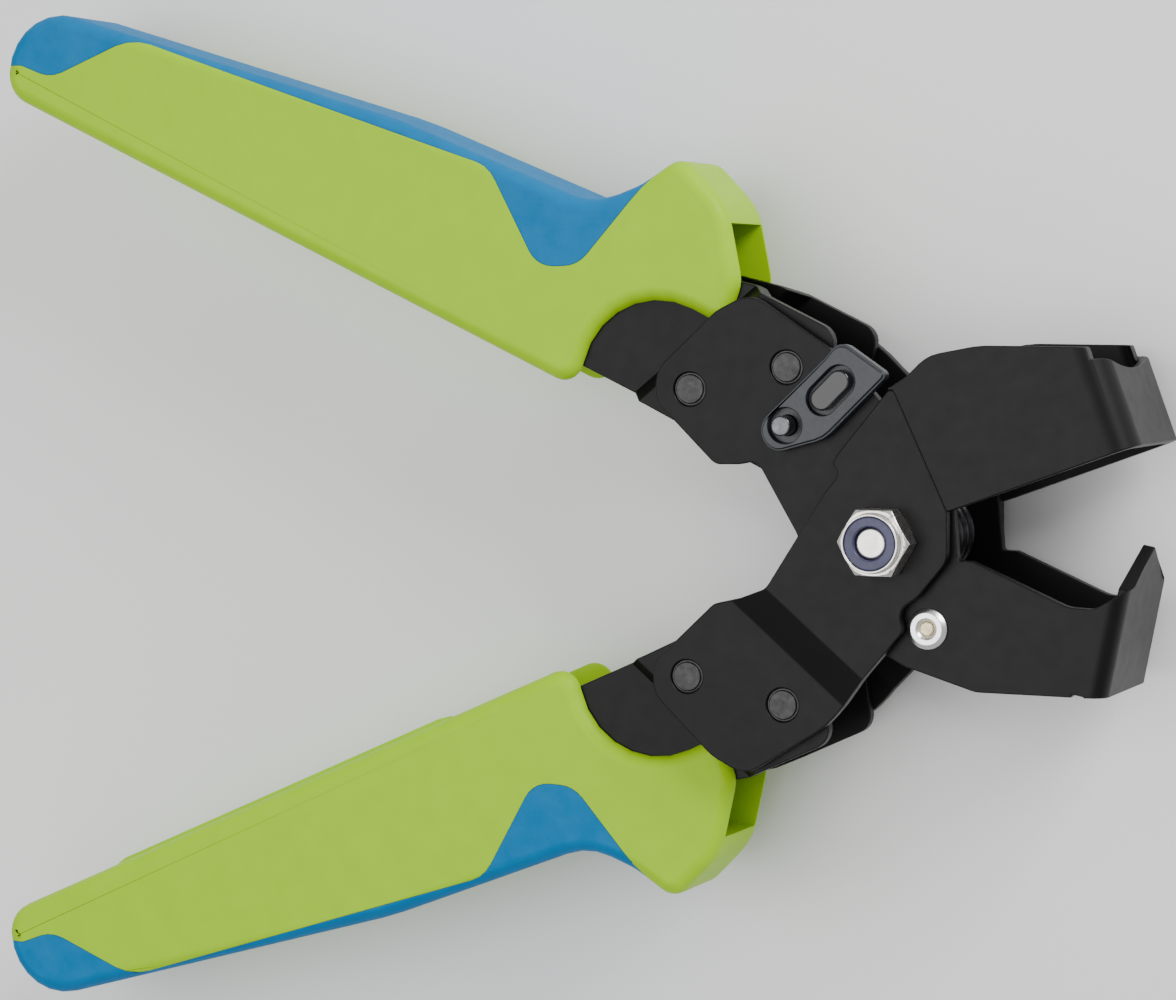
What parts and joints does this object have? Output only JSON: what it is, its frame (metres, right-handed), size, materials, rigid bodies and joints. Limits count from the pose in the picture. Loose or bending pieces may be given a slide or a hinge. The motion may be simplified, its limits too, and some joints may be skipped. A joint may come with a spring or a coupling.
{
  "type": "notching and nibbling pliers",
  "caption": "Hand notching pliers with a U-shaped punch with a piercing point that closes into a folded-sheet die, sprung handles with soft overlays and a swinging latch.",
  "frame": {"origin": "on the pivot axis, at the outer flat face of the pivot bolt's head, on which the tool lies", "axes": "+X from the pivot to the jaws, +Y to the upper handle, +Z along the pivot bolt from its head to its nut; handles open"},
  "size_m": [0.2575, 0.217, 0.0535],
  "materials": {
    "black_steel": "satin",
    "zinc": "satin",
    "navy_nylon": "satin",
    "bush_steel": "satin",
    "washer_bronze": "satin",
    "spring_steel": "satin",
    "aluminium": "satin",
    "mandrel_steel": "satin",
    "pin_steel": "satin",
    "latch_plastic": "satin",
    "gloss_black": "gloss",
    "lime_shell": "satin",
    "blue_overlay": "matte",
    "rivet_steel": "satin"
  },
  "bodies": {
    "die_arm": {"die_frame": "black_steel", "lower_tang_near": "black_steel", "lower_tang_far": "black_steel", "lower_handle_shell": "lime_shell", "lower_grip_overlay": "blue_overlay", "lower_rivets": "rivet_steel", "pivot_bolt": "zinc", "lock_nut": "zinc", "nut_ring": "navy_nylon", "pivot_bush": "bush_steel", "thrust_washers": "washer_bronze", "return_spring": "spring_steel"},
    "punch_arm": {"punch_frame": "black_steel", "upper_tang_near": "black_steel", "upper_tang_far": "black_steel", "upper_handle_shell": "lime_shell", "upper_grip_overlay": "blue_overlay", "upper_rivets": "rivet_steel", "stop_rivet": "aluminium", "stop_rivet_mandrel": "mandrel_steel", "latch_pin": "pin_steel"},
    "latch": {"latch_lever": "latch_plastic", "latch_stud": "gloss_black"}
  },
  "joints": [
    {"name": "handle_pivot", "type": "hinge", "parent": "die_arm", "child": "punch_arm", "pos_m": [0, 0, 0.0254], "axis": [0, 0, 1], "range_deg": [0, 41.5], "stiffness_Nm_per_rad": 0.6, "springref_deg": -17.19, "deforming": ["return_spring"]},
    {"name": "latch_turn", "type": "hinge", "parent": "punch_arm", "child": "latch", "pos_m": [-0.0204, 0.0223, 0.0442], "axis": [0, 0, 1], "range_deg": [0, 40]}
  ]
}
